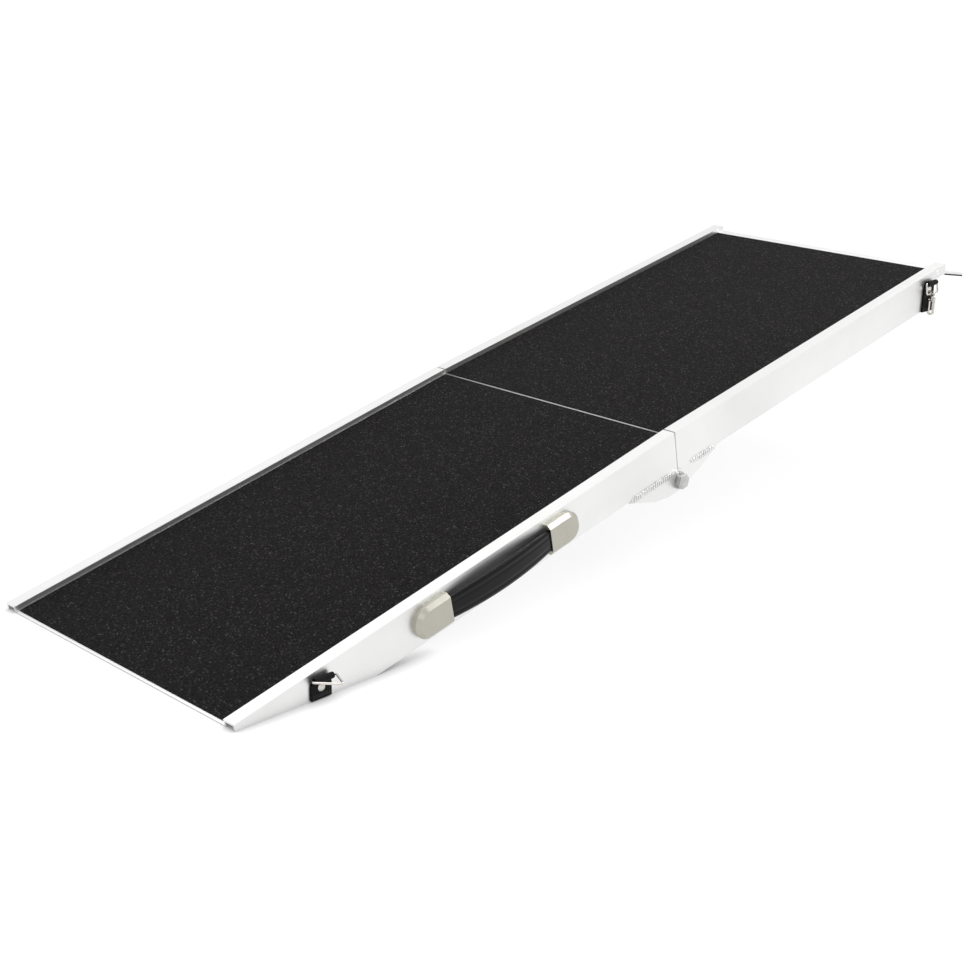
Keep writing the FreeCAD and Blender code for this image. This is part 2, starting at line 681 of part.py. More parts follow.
def bent_lip():
    """The lip plate: a flat root against the ledges, then a bend down past the rails."""
    slope, thick = "<tongue_bend>", "<tongue_thick>"
    top, bottom = TONGUE_TOP, f"({TONGUE_TOP} - {thick})"
    tip_x = f"({TOP_END} + <tongue_reach> * cos({slope}))"
    tip_z = f"({TONGUE_TOP} - <tongue_reach> * sin({slope}))"
    corners = [
        (f"({TOP_END} - <tongue_root>)", top),
        (TOP_END, top),
        (tip_x, tip_z),
        (f"({tip_x} - {thick} * sin({slope}))", f"({tip_z} - {thick} * cos({slope}))"),
        (f"({TOP_END} - {thick} * tan({slope} / 2))", bottom),
        (f"({TOP_END} - <tongue_root>)", bottom),
    ]
    lip = plate_across("lip", upper_frame, corners, "0", "(<clear_width> + 2 * <rail_flange>)")
    # the root narrows to pass between the rail walls behind the notch
    for side in SIDES.values():
        strip = sketch_on(lip, "XY_Plane")
        inner = outward(side, f"({INNER_WALL} - <deck_gap>)")
        outer = outward(side, "(<rail_flange> + 5)")
        behind = f"({TOP_END} - <tongue_root> - 5)"
        front = f"({TOP_END} - <notch_length> + <notch_corner> + <deck_gap>)"
        draw_outline(strip, [(behind, inner), (front, inner), (front, outer), (behind, outer)])
        cut_through(lip, strip, "4 * <rail_height>")
    holes_down(lip, TONGUE_RIVETS, RIVET_HOLE)
    return keep("lip", lip)


bent_lip()


def under_lip(along, depth):
    """A place along the lip from its bend, at a depth square to its top face."""
    slope = "<tongue_bend>"
    x = f"({TOP_END} + {along} * cos({slope}) - {depth} * sin({slope}))"
    return (x, f"({TONGUE_TOP} - {along} * sin({slope}) - {depth} * cos({slope}))")


pad_top, pad_bottom = "<tongue_thick>", "(<tongue_thick> + <pad_thick>)"
pad_corners = [
    under_lip("<pad_start>", pad_top),
    under_lip("<tongue_reach>", pad_top),
    under_lip("<tongue_reach>", pad_bottom),
    under_lip("<pad_start>", pad_bottom),
]
lip_width = "(<clear_width> + 2 * <rail_flange>)"
keep("lip_pad", plate_across("lip_pad", upper_frame, pad_corners, "0", lip_width))


def flush_rivets(label, frame, places, grip_end):
    """Rivets with a flush head in the deck sheet and a formed head at height grip_end."""
    solids = []
    flush = amount("<rivet_flush> - <rivet_play>")
    sheet_depth = amount("<deck_thick>")
    low = amount(grip_end)
    tail = amount("<rivet_tail_thick>")
    for along, across in places:
        at = vec(amount(along), amount(across), 0)
        head = Part.makeCylinder(flush, sheet_depth, at - vec(0, 0, sheet_depth))
        shank = Part.makeCylinder(amount("<rivet_radius>"), -low, at + vec(0, 0, low))
        formed = Part.makeCylinder(amount("<rivet_tail>"), tail, at + vec(0, 0, low - tail))
        solids.append(head.fuse([shank, formed]).removeSplitter().Solids[0])
    keep_solid(label, Part.makeCompound(solids), frame)


flush_rivets("lower_deck_rivets", lower_frame, LOWER_RIVETS, LEDGE)
flush_rivets("upper_deck_rivets", upper_frame, UPPER_RIVETS, LEDGE)
flush_rivets("lip_rivets", upper_frame, TONGUE_RIVETS, f"({TONGUE_TOP} - <tongue_thick>)")


def end_block(label, side):
    """The block in the hollow of the rail's top end, which the end rivet holds."""
    play = "<block_play>"
    low, high = f"({LEDGE} + {play})", f"(<curb_height> - <rail_wall> - {play})"
    near, far = f"(<rail_wall> + {play})", f"({INNER_WALL} - {play})"
    start = f"({TOP_END} - <block_length> - <notch_corner>)"
    corners = [(outward(side, near), low), (outward(side, far), low)]
    corners += [(outward(side, far), high), (outward(side, near), high)]
    block = bar_along(label, upper_frame, corners, start, "<block_length>")
    centre = outward(side, middle((near, far)))
    holes_across(block, [END_RIVET], RIVET_HOLE, centre, "2 * <rail_flange>")
    return keep(label, block)


def domed_rivet(side, place, seat, head_radius, head_thick, inside, formed):
    """A domed rivet along Y, from its seat to inside, with a formed tail if it has room for one."""
    along, up = amount(place[0]), amount(place[1])
    head_r, head_t = amount(head_radius), amount(head_thick)
    outer, inner = amount(outward(side, seat)), amount(outward(side, inside))
    facing = vec(0, side, 0)
    dome_r = (head_r**2 + head_t**2) / (2 * head_t)
    ball = Part.makeSphere(dome_r, vec(along, outer - side * (dome_r - head_t), up))
    drum = Part.makeCylinder(head_r, 2 * dome_r, vec(along, outer, up), facing)
    tail = amount("<rivet_tail_thick>") if formed else 0
    shank_at = vec(along, inner - side * tail, up)
    pieces = [Part.makeCylinder(amount("<rivet_radius>"), abs(outer - inner) + tail, shank_at, facing)]
    if formed:
        pieces.append(Part.makeCylinder(amount("<rivet_tail>"), tail, shank_at, facing))
    return ball.common(drum).fuse(pieces).removeSplitter().Solids[0]


END_SIZES = ("<rail_flange>", "<dome_radius>", "<dome_thick>", "(<rail_wall> + <block_play>)")
end_rivets = []
for name, side in SIDES.items():
    end_block(f"end_block_{name}", side)
    end_rivets.append(domed_rivet(side, END_RIVET, *END_SIZES, formed=False))
keep_solid("end_rivets", Part.makeCompound(end_rivets), upper_frame)


# ---- carrying handle ----

WALL_FACE = "<rail_flange>"
GRIP_HALF = f"({CAP_INNER} + <cap_slot>)"


def handle_cap(label, end):
    """A D-shaped cap with a bevelled face, a slot for the strap and two blind screw holes."""
    x0, z0 = amount(HANDLE_MID), amount(HANDLE_Z)
    mouth, turn = x0 + end * amount(CAP_INNER), x0 + end * amount(f"({CAP_OUTER} - <cap_width> / 2)")
    half, thick = amount("<cap_width> / 2"), amount("<cap_thick>")
    wall = amount(outward(RIGHT, WALL_FACE))
    crest = vec(turn + end * half, wall, z0)
    low_turn, high_turn = vec(turn, wall, z0 - half), vec(turn, wall, z0 + half)
    low_mouth, high_mouth = vec(mouth, wall, z0 - half), vec(mouth, wall, z0 + half)
    outline = [
        Part.Arc(low_turn, crest, high_turn),
        Part.LineSegment(high_turn, high_mouth),
        Part.LineSegment(high_mouth, low_mouth),
        Part.LineSegment(low_mouth, low_turn),
    ]
    face = Part.Face(Part.Wire([edge.toShape() for edge in outline]))
    cap = face.extrude(vec(0, RIGHT * thick, 0))
    rim = []
    for edge in cap.Edges:
        ends = [vertex.Point for vertex in edge.Vertexes]
        on_face = all(abs(point.y - wall - RIGHT * thick) < 1e-4 for point in ends)
        at_mouth = all(abs(point.x - mouth) < 1e-4 for point in ends)
        if on_face and not at_mouth:
            rim.append(edge)
    cap = cap.makeChamfer(amount("<cap_bevel>"), rim)
    play = amount("<strap_play>")
    slot_x = sorted((mouth - end * 2, mouth + end * (amount("<cap_slot>") + play)))
    slot_half = amount("<grip_end_width> / 2") + play
    slot_y = amount(outward(RIGHT, f"({WALL_FACE} + <grip_lift> + <grip_thick> + <strap_play>)"))
    slot_depth = amount("<grip_thick> + 2 * <strap_play>")
    corner = vec(slot_x[0], slot_y, z0 - slot_half)
    cuts = [Part.makeBox(slot_x[1] - slot_x[0], slot_depth, 2 * slot_half, corner)]
    for along, up in HANDLE_SCREWS[:2] if end < 0 else HANDLE_SCREWS[2:]:
        at = vec(amount(along), wall, amount(up))
        depth = amount("<screw_bite> + <strap_play>")
        cuts.append(Part.makeCylinder(amount("<screw_radius> + <rivet_play>"), depth, at, vec(0, RIGHT, 0)))
    return keep_solid(label, cap.cut(cuts).Solids[0], lower_frame)


handle_cap("handle_cap_lower", -1)
handle_cap("handle_cap_upper", 1)


def bowed_strip(half_length, end_low, end_high, mid_low, mid_high):
    """A strip between two arcs in the X-Y plane, straight at its ends past the caps' mouths."""
    x0 = amount(HANDLE_MID)
    mouth = amount(CAP_INNER)

    def y(distance):
        return amount(outward(RIGHT, f"({WALL_FACE} + ({distance}))"))

    points = {}
    for key, text in (("low", end_low), ("high", end_high), ("mid_low", mid_low), ("mid_high", mid_high)):
        points[key] = y(text)
    low, high = points["low"], points["high"]
    near, far = x0 - half_length, x0 + half_length
    edges = [
        Part.LineSegment(vec(near, low, 0), vec(x0 - mouth, low, 0)),
        Part.Arc(vec(x0 - mouth, low, 0), vec(x0, points["mid_low"], 0), vec(x0 + mouth, low, 0)),
        Part.LineSegment(vec(x0 + mouth, low, 0), vec(far, low, 0)),
        Part.LineSegment(vec(far, low, 0), vec(far, high, 0)),
        Part.LineSegment(vec(far, high, 0), vec(x0 + mouth, high, 0)),
        Part.Arc(vec(x0 + mouth, high, 0), vec(x0, points["mid_high"], 0), vec(x0 - mouth, high, 0)),
        Part.LineSegment(vec(x0 - mouth, high, 0), vec(near, high, 0)),
        Part.LineSegment(vec(near, high, 0), vec(near, low, 0)),
    ]
    return Part.Face(Part.Wire([edge.toShape() for edge in edges]))


def core_strip(play):
    """The spring steel strip inside the grip, grown by play."""
    middle_end = "(<grip_lift> + <grip_thick> / 2)"
    middle_mid = f"({middle_end} + <grip_bow> + <grip_swell> / 2)"
    half = f"(<core_thick> / 2 + {play})"
    length = amount(f"({GRIP_HALF} - 3 + {play})")
    lows = (f"({middle_end} - {half})", f"({middle_end} + {half})")
    mids = (f"({middle_mid} - {half})", f"({middle_mid} + {half})")
    face = bowed_strip(length, *lows, *mids)
    width = amount(f"(<core_width> + 2 * {play})")
    face.translate(vec(0, 0, amount(HANDLE_Z) - width / 2))
    return face.extrude(vec(0, 0, width))


def grip_outline():
    """The grip seen square to the rail wall: narrow ends, wide middle."""
    x0, z0 = amount(HANDLE_MID), amount(HANDLE_Z)
    end, mid = amount("<grip_end_width> / 2"), amount("<grip_mid_width> / 2")
    mouth, half = amount(CAP_INNER), amount(GRIP_HALF)
    edges = []
    for way in (1, -1):
        edges += [
            Part.LineSegment(vec(x0 - way * half, 0, z0 + way * end), vec(x0 - way * mouth, 0, z0 + way * end)),
            Part.Arc(
                vec(x0 - way * mouth, 0, z0 + way * end),
                vec(x0, 0, z0 + way * mid),
                vec(x0 + way * mouth, 0, z0 + way * end),
            ),
            Part.LineSegment(vec(x0 + way * mouth, 0, z0 + way * end), vec(x0 + way * half, 0, z0 + way * end)),
            Part.LineSegment(vec(x0 + way * half, 0, z0 + way * end), vec(x0 + way * half, 0, z0 - way * end)),
        ]
    return Part.Face(Part.Wire([edge.toShape() for edge in edges]))


end_pair = ("<grip_lift>", "(<grip_lift> + <grip_thick>)")
mid_pair = ("(<grip_lift> + <grip_bow>)", "(<grip_lift> + <grip_thick> + <grip_bow> + <grip_swell>)")
deep = 4 * amount("<grip_mid_width>")
side_face = bowed_strip(amount(GRIP_HALF), *end_pair, *mid_pair)
side_face.translate(vec(0, 0, amount(HANDLE_Z) - deep / 2))
front_face = grip_outline()
front_face.translate(vec(0, -2 * amount("<clear_width>"), 0))
grip = side_face.extrude(vec(0, 0, deep)).common(front_face.extrude(vec(0, 4 * amount("<clear_width>"), 0)))
grip = grip.cut(core_strip("<rivet_play>"))
keep_solid("handle_grip", grip.Solids[0], lower_frame)
keep_solid("handle_core", core_strip("0"), lower_frame)


def pan_screws():
    """The handle's screws, with their heads inside the rail."""
    solids = []
    facing = vec(0, RIGHT, 0)
    head_y = amount(outward(RIGHT, f"({INNER_WALL} - <screw_head_thick>)"))
    length = amount("<screw_head_thick> + <rail_wall> + <screw_bite>")
    for along, up in HANDLE_SCREWS:
        at = vec(amount(along), head_y, amount(up))
        head = Part.makeCylinder(amount("<screw_head>"), amount("<screw_head_thick>"), at, facing)
        shank = Part.makeCylinder(amount("<screw_radius>"), length, at, facing)
        solids.append(head.fuse(shank).removeSplitter().Solids[0])
    return Part.makeCompound(solids)


keep_solid("handle_screws", pan_screws(), lower_frame)


# ---- webbing tabs, rings and snap hook ----


def hung_frame(panel_frame, stud, slope):
    """The frame of a tab that hangs plumb from its rivet: X is level along the ramp, Z is up."""
    turn = FreeCAD.Rotation(vec(0, 1, 0), slope)
    return panel_frame * FreeCAD.Placement(vec(amount(stud[0]), 0, amount(stud[1])), turn)


lower_hung = hung_frame(lower_frame, LOWER_STUD, amount("<bevel_angle>"))
upper_hung = hung_frame(upper_frame, UPPER_STUD, amount("<bevel_angle> - <crown_angle>"))


def webbing_tab(label, frame, rise, foot):
    """A doubled webbing tab on the rail wall, with the loop that holds the ring's wire."""
    left, right, top = "(-<web_width> / 2)", "(<web_width> / 2)", f"({rise} + <web_head>)"
    corners = [(left, top), (left, f"(-{foot})"), (right, f"(-{foot})"), (right, top)]
    centre = outward(RIGHT, f"({WALL_FACE} + <web_thick> / 2)")
    body = plate_across(label, frame, corners, centre, "<web_thick>")
    loop = sketch_on(body, "YZ_Plane")
    axis_y = outward(RIGHT, f"({WALL_FACE} + <roll_out>)")
    draw_circle(loop, axis_y, rise, "<roll_radius>")
    raise_pad(body, loop, "<roll_width>", symmetric=True)
    bore = sketch_on(body, "YZ_Plane")
    draw_circle(bore, axis_y, rise, "<ring_wire> + <ring_play>")
    cut_through(body, bore, "2 * <web_width>")
    holes_across(body, [("0", "0")], RIVET_HOLE, centre, "4 * <web_thick>")
    return keep(label, body)


webbing_tab("lower_tab", lower_hung, "<roll_lower_rise>", "<web_lower_foot>")
webbing_tab("upper_tab", upper_hung, "<roll_upper_rise>", "<web_upper_foot>")

TAB_FACE = f"({WALL_FACE} + <web_thick>)"
for name, frame in (("lower", lower_hung), ("upper", upper_hung)):
    sizes = (TAB_FACE, "<stud_radius>", "<stud_thick>", INNER_WALL)
    rivet = domed_rivet(RIGHT, ("0", "0"), *sizes, formed=True)
    keep_solid(f"{name}_tab_rivet", rivet, frame)


def rounded_loop(corners, bends):
    """A closed wire through corners, with an arc of its own radius at each."""
    count = len(corners)
    starts, arcs = [], []
    for i in range(count):
        here, before, after = corners[i], corners[i - 1], corners[(i + 1) % count]
        to_before = (before - here).normalize()
        to_after = (after - here).normalize()
        half = to_before.getAngle(to_after) / 2
        back = bends[i] / math.tan(half)
        bisector = (to_before + to_after).normalize()
        centre = here + bisector * (bends[i] / math.sin(half))
        middle_point = centre - bisector * bends[i]
        starts.append((here + to_before * back, here + to_after * back))
        arcs.append(Part.Arc(starts[i][0], middle_point, starts[i][1]).toShape())
    edges = []
    for i in range(count):
        edges.append(arcs[i])
        edges.append(Part.LineSegment(starts[i][1], starts[(i + 1) % count][0]).toShape())
    return Part.Wire(edges)


def wire_ring(corners, bends, radius):
    """A ring of round wire. Its path starts in the middle of a straight run."""
    path = rounded_loop(corners, bends)
    start = path.Edges[1]
    at = start.valueAt((start.FirstParameter + start.LastParameter) / 2)
    way = start.tangentAt(start.FirstParameter)
    pieces = []
    for edge in path.Edges:
        first = edge.valueAt(edge.FirstParameter)
        section = Part.Wire(Part.Circle(first, edge.tangentAt(edge.FirstParameter), radius).toShape())
        pieces.append(Part.Wire(edge).makePipeShell([section], True, False))
    ring = pieces[0].fuse(pieces[1:])
    return ring.removeSplitter().Solids[0]


wire = amount("<ring_wire>")
straight_half = amount("<roll_width> / 2 + <ring_play>")


def triangle_half(height, bend):
    """Half the base of a triangular ring whose bends start clear of the webbing."""
    half = straight_half
    for _ in range(60):
        half = straight_half + bend / math.tan(math.atan2(height, half) / 2)
    return half


def ring_frame(rise, tilt):
    """The ring's own frame in its tab's: X along its axis, Z from the axis to the far wire."""
    origin = vec(0, amount(outward(RIGHT, f"({WALL_FACE} + <roll_out>)")), amount(rise))
    return FreeCAD.Placement(origin, FreeCAD.Rotation(vec(1, 0, 0), tilt))


# turning +Z by +90 degrees about +X points it to -Y, out of the right-hand wall
LOWER_TILT = 90 - amount("<triangle_lift>")
UPPER_TILT = 180 - amount("<square_tilt>")
reach = amount("<triangle_reach>")
bend, nose = amount("<triangle_bend>"), amount("<triangle_nose>")
base_half = triangle_half(reach, bend)
triangle = wire_ring(
    [vec(-base_half, 0, 0), vec(base_half, 0, 0), vec(0, 0, reach)], [bend, bend, nose], wire
)
keep_solid("lower_ring", triangle, lower_hung * ring_frame("<roll_lower_rise>", LOWER_TILT))
reach = amount("<square_reach>")
bend = amount("<square_bend>")
ring_half = straight_half + bend
square = wire_ring(
    [vec(-ring_half, 0, 0), vec(ring_half, 0, 0), vec(ring_half, 0, reach), vec(-ring_half, 0, reach)],
    [bend] * 4,
    wire,
)
upper_ring_place = upper_hung * ring_frame("<roll_upper_rise>", UPPER_TILT)
keep_solid("upper_ring", square, upper_ring_place)

# The hook hangs plumb from the middle of the upper ring's far wire. The frame of its eye: origin on
# that wire's axis, Z down the hook, X up the ramp. The hook's own frame is turned on the swivel, so
# that its X, towards the gate, points away from the rail.
hang_point = upper_ring_place.multVec(vec(0, 0, reach))
eye_place = FreeCAD.Placement(hang_point, FreeCAD.Rotation(vec(1, 0, 0), 180))
hook_place = eye_place * FreeCAD.Placement(vec(0, 0, 0), FreeCAD.Rotation(vec(0, 0, 1), 90))
eye_r, eye_wire = amount("<eye_radius>"), amount("<eye_wire>")
stem_r, hook_w = amount("<swivel_radius>"), amount("<hook_width>")
collar, hook_t = amount("<hook_collar>"), amount("<hook_thick>")
hook_bar, gate_play = amount("<hook_bar>"), amount("<gate_play>")
eye_z = eye_r - eye_wire - wire - amount("<eye_play>")
stem_top = eye_z + eye_r
eye = Part.makeTorus(eye_r, eye_wire, vec(0, 0, eye_z), vec(1, 0, 0))
stem_end = stem_top + eye_wire + amount("<swivel_length>")
stem = Part.makeCylinder(stem_r, stem_end - stem_top, vec(0, 0, stem_top))
button_thick = amount("<swivel_button_thick>")
button = Part.makeCylinder(amount("<swivel_button>"), button_thick, vec(0, 0, stem_end))
keep_solid("hook_eye", eye.fuse([stem, button]).removeSplitter().Solids[0], eye_place)


def slab(x_span, z_span, thick):
    """A box over spans of the hook's X and Z, centred on its middle plane."""
    low = vec(x_span[0], -thick / 2, z_span[0])
    return Part.makeBox(x_span[1] - x_span[0], thick, z_span[1] - z_span[0], low)


def pin_across(x, z, radius, length):
    """A pin along the hook's Y."""
    return Part.makeCylinder(radius, length, vec(x, -length / 2, z), vec(0, 1, 0))


body_top = stem_end - gate_play - collar
tip_z = body_top + amount("<hook_length>") - hook_w / 2
half_w, window_w = hook_w / 2, hook_w / 2 - hook_bar
chamber_end = stem_end + button_thick + 2 * gate_play
window_top = chamber_end + amount("<hook_bridge>")
pin_r = amount("<gate_pin>")
pin_x, pin_z = half_w - hook_bar / 2, window_top + amount("<gate_knuckle>")
gate_top, gate_end = pin_z + amount("<gate_knuckle>"), tip_z
knuckle_t = amount("<gate_knuckle_thick>")
outline = slab((-half_w, half_w), (body_top, tip_z), hook_t).fuse(pin_across(0, tip_z, half_w, hook_t))
hook_cuts = [
    slab((-window_w, window_w), (window_top, tip_z), 2 * hook_t),
    pin_across(0, tip_z, window_w, 2 * hook_t),
    slab((-half_w + 1.2, half_w - 1.2), (body_top + collar, chamber_end), 2 * hook_t),
    Part.makeCylinder(stem_r + amount("<swivel_play>"), collar + 2, vec(0, 0, body_top - 1)),
    slab((window_w - 1, half_w + 1), (gate_top, gate_end + gate_play), 2 * hook_t),
    slab((window_w - 1, half_w + 1), (window_top - gate_play, gate_top + 1), knuckle_t + 2 * gate_play),
    pin_across(pin_x, pin_z, pin_r + amount("<rivet_play>"), 2 * hook_t),
]
hook = outline.removeSplitter().cut(hook_cuts).removeSplitter()
keep_solid("hook_body", hook.Solids[0], hook_place)
bar_top = gate_top + amount("<gate_step>")
gate_bar = slab((window_w, half_w - gate_play), (bar_top, gate_end), hook_t - 2 * gate_play)
neck = slab((pin_x - pin_r, pin_x + pin_r), (pin_z, bar_top + gate_play), knuckle_t)
knuckle = pin_across(pin_x, pin_z, amount("<gate_knuckle>") - gate_play, knuckle_t)
pin_hole = pin_across(pin_x, pin_z, pin_r + amount("<rivet_play>"), 2 * hook_t)
gate = gate_bar.fuse([neck, knuckle]).removeSplitter().cut(pin_hole)
keep_solid("hook_gate", gate.Solids[0], hook_place)
keep_solid("hook_gate_pin", pin_across(pin_x, pin_z, pin_r, hook_t), hook_place)


# ---- checks and files ----

doc.recompute()
for thing in doc.Objects:
    if "Invalid" in thing.State or "Error" in thing.State:
        raise ValueError(f"{thing.Label} failed: {thing.State}")
for label, thing in nodes.items():
    shape = thing.Shape
    if shape.isNull() or not shape.isValid() or not shape.Solids:
        raise ValueError(f"{label} isn't a valid solid")

os.makedirs("parts", exist_ok=True)
for label, thing in nodes.items():
    thing.Shape.exportStep(f"parts/{label}.step")
print(len(nodes), "nodes")
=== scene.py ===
import json
import math
import random

import bmesh
import bpy
from mathutils import Matrix, Vector


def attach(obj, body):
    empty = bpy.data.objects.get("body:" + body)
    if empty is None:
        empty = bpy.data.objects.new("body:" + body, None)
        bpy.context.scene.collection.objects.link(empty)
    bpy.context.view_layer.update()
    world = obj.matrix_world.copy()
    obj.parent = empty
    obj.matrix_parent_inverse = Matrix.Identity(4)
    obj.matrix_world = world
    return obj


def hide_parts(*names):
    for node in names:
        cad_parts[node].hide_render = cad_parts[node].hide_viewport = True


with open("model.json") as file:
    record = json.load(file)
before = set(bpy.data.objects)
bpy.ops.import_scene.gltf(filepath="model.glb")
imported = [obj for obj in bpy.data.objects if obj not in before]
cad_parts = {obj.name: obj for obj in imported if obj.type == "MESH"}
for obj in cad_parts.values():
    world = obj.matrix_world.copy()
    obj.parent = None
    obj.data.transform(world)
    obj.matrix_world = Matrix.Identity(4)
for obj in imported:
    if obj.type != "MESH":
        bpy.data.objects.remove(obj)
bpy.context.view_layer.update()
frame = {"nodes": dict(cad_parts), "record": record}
record = frame["record"]
nodes = frame["nodes"]
joints = {joint["name"]: joint for joint in record["behaviour"]["joints"]}

# ---- panel frames: X along a panel from its toe, Y to the left, Z square to the deck ----

CLEAR_HALF = 0.175
WALL_OUT = 0.0158
WALL_HALF = CLEAR_HALF + WALL_OUT
WALL_Y = -WALL_HALF
FOLD_X = 0.633
PIVOT_Z = -0.0539
FOOT_Z = -0.040
WELD_Z = FOOT_Z - 0.0016
LOWER_SLOPE = math.radians(13.3)
UPPER_SLOPE = math.radians(13.3 - 1.557)


def panel_matrix(slope):
    """Panel coordinates to the row frame, for a panel that climbs at slope."""
    pivot = Vector(joints["fold"]["pos_m"])
    turn = Matrix.Rotation(-slope, 4, "Y")
    return Matrix.Translation(pivot) @ turn @ Matrix.Translation((-FOLD_X, 0, -PIVOT_Z))


LOWER = panel_matrix(LOWER_SLOPE)
UPPER = panel_matrix(UPPER_SLOPE)


def hung_matrix(ring_joint, rise):
    """Row axes at the rivet of a webbing tab that hangs plumb, rise below the ring's axis."""
    axis = Vector(joints[ring_joint]["pos_m"])
    return Matrix.Translation((axis.x, 0, axis.z - rise))


LOWER_RISE, UPPER_RISE = 0.010, 0.0086
LOWER_HUNG = hung_matrix("lower_ring_swing", LOWER_RISE)
UPPER_HUNG = hung_matrix("upper_ring_swing", UPPER_RISE)


# ---- materials ----


class Graph:
    """A material's node tree, built a node at a time."""

    def __init__(self, name):
        self.material = bpy.data.materials.new(name)
        self.material.use_nodes = True
        self.tree = self.material.node_tree
        self.tree.nodes.clear()
        self.shader = self.add("ShaderNodeBsdfPrincipled")
        out = self.add("ShaderNodeOutputMaterial")
        self.link(self.shader.outputs[0], out.inputs["Surface"])
        self.object_space = self.add("ShaderNodeTexCoord").outputs["Object"]

    def add(self, kind, **settings):
        node = self.tree.nodes.new(kind)
        for key, value in settings.items():
            setattr(node, key, value)
        return node

    def link(self, source, target):
        self.tree.links.new(source, target)

    def value(self, name, value):
        self.shader.inputs[name].default_value = value

    def drive(self, name, source):
        self.link(source, self.shader.inputs[name])

    def mapped(self, turn=(0, 0, 0), scale=(1, 1, 1)):
        """Object space turned, then scaled."""
        turned = self.add("ShaderNodeMapping")
        turned.inputs["Rotation"].default_value = turn
        self.link(self.object_space, turned.inputs["Vector"])
        scaled = self.add("ShaderNodeMapping")
        scaled.inputs["Scale"].default_value = scale
        self.link(turned.outputs[0], scaled.inputs["Vector"])
        return scaled.outputs[0]

    def noise(self, vector, scale, detail=4.0, rough=0.5):
        node = self.add("ShaderNodeTexNoise")
        self.link(vector, node.inputs["Vector"])
        node.inputs["Scale"].default_value = scale
        node.inputs["Detail"].default_value = detail
        node.inputs["Roughness"].default_value = rough
        return node.outputs["Fac"]

    def voronoi(self, vector, scale, output="Color"):
        node = self.add("ShaderNodeTexVoronoi")
        self.link(vector, node.inputs["Vector"])
        node.inputs["Scale"].default_value = scale
        return node.outputs[output]

    def ramp(self, source, low, high, first, last):
        """source from low to high becomes first to last: numbers or colours."""
        node = self.add("ShaderNodeMapRange")
        self.link(source, node.inputs["Value"])
        node.inputs["From Min"].default_value = low
        node.inputs["From Max"].default_value = high
        node.inputs["To Min"].default_value = first
        node.inputs["To Max"].default_value = last
        return node.outputs["Result"]

    def mix(self, factor, first, last):
        node = self.add("ShaderNodeMix", data_type="RGBA")
        self.link(factor, node.inputs["Factor"])
        node.inputs[6].default_value = (*first, 1)
        node.inputs[7].default_value = (*last, 1)
        return node.outputs[2]

    def math(self, operation, first, second):
        node = self.add("ShaderNodeMath", operation=operation)
        for socket, source in zip(node.inputs, (first, second)):
            if isinstance(source, (int, float)):
                socket.default_value = source
            else:
                self.link(source, socket)
        return node.outputs[0]

    def bump(self, height, strength, distance):
        node = self.add("ShaderNodeBump")
        node.inputs["Strength"].default_value = strength
        node.inputs["Distance"].default_value = distance
        self.link(height, node.inputs["Height"])
        self.drive("Normal", node.outputs[0])


def extruded_metal(name, slope, colour=(0.79, 0.79, 0.785), rough=(0.34, 0.46)):
    """Satin aluminium with faint draw lines along the panel and a little handling wear."""
    g = Graph(name)
    lines = g.noise(g.mapped((0, slope, 0), (1.2, 420, 420)), 1.0, 3.0)
    clouds = g.noise(g.object_space, 9.0, 5.0)
    fine = g.noise(g.object_space, 900.0, 2.0)
    g.value("Metallic", 1.0)
    darker = tuple(0.93 * c for c in colour)
    g.drive("Base Color", g.mix(g.ramp(clouds, 0.35, 0.7, 0, 1), colour, darker))
    wear = g.math("ADD", g.math("MULTIPLY", lines, 0.6), g.math("MULTIPLY", clouds, 0.4))
    g.drive("Roughness", g.ramp(wear, 0.3, 0.7, *rough))
    height = g.math("ADD", lines, g.math("MULTIPLY", fine, 0.35))
    g.bump(height, 0.12, 0.0002)
    return g.material


def plain_metal(name, colour, rough, scale=600.0, strength=0.15):
    """A small plated or turned metal part: fine grain, soft blotches of roughness."""
    g = Graph(name)
    clouds = g.noise(g.object_space, 70.0, 4.0)
    grain = g.noise(g.object_space, scale, 3.0)
    g.value("Metallic", 1.0)
    darker = tuple(0.8 * c for c in colour)
    g.drive("Base Color", g.mix(g.ramp(clouds, 0.4, 0.7, 0, 1), colour, darker))
    g.drive("Roughness", g.ramp(clouds, 0.3, 0.7, rough, rough + 0.14))
    g.bump(grain, strength, 0.0002)
    return g.material


def grip_tape(name):
    """Black abrasive tape: close dark grit with painted glints, scattered bright spots in its
    colour for the light off mineral facets.
    """
    g = Graph(name)
    grit = g.voronoi(g.object_space, 820.0, "Distance")
    grains = g.noise(g.object_space, 520.0, 3.0, 0.75)
    facets = g.voronoi(g.object_space, 760.0)
    lumps = g.noise(g.object_space, 300.0, 4.0, 0.7)
    bright = g.ramp(facets, 0.80, 1.0, 0, 1)
    grain_dark, grain_light = (0.0016, 0.0012, 0.0014), (0.019, 0.0175, 0.018)
    # painted glints: bright spots of colour where grit facets would catch the light
    glint_colour = (0.085, 0.083, 0.081)
    base = g.mix(g.ramp(grains, 0.42, 0.70, 0, 1), grain_dark, grain_light)
    sparkle = g.add("ShaderNodeMix", data_type="RGBA")
    g.link(bright, sparkle.inputs["Factor"])
    g.link(base, sparkle.inputs[6])
    sparkle.inputs[7].default_value = (*glint_colour, 1)
    g.drive("Base Color", sparkle.outputs[2])
    g.value("Roughness", 0.82)
    g.value("Specular IOR Level", 0.08)
    height = g.math("ADD", g.math("MULTIPLY", grit, -0.7), lumps)
    g.bump(height, 0.9, 0.0012)
    return g.material


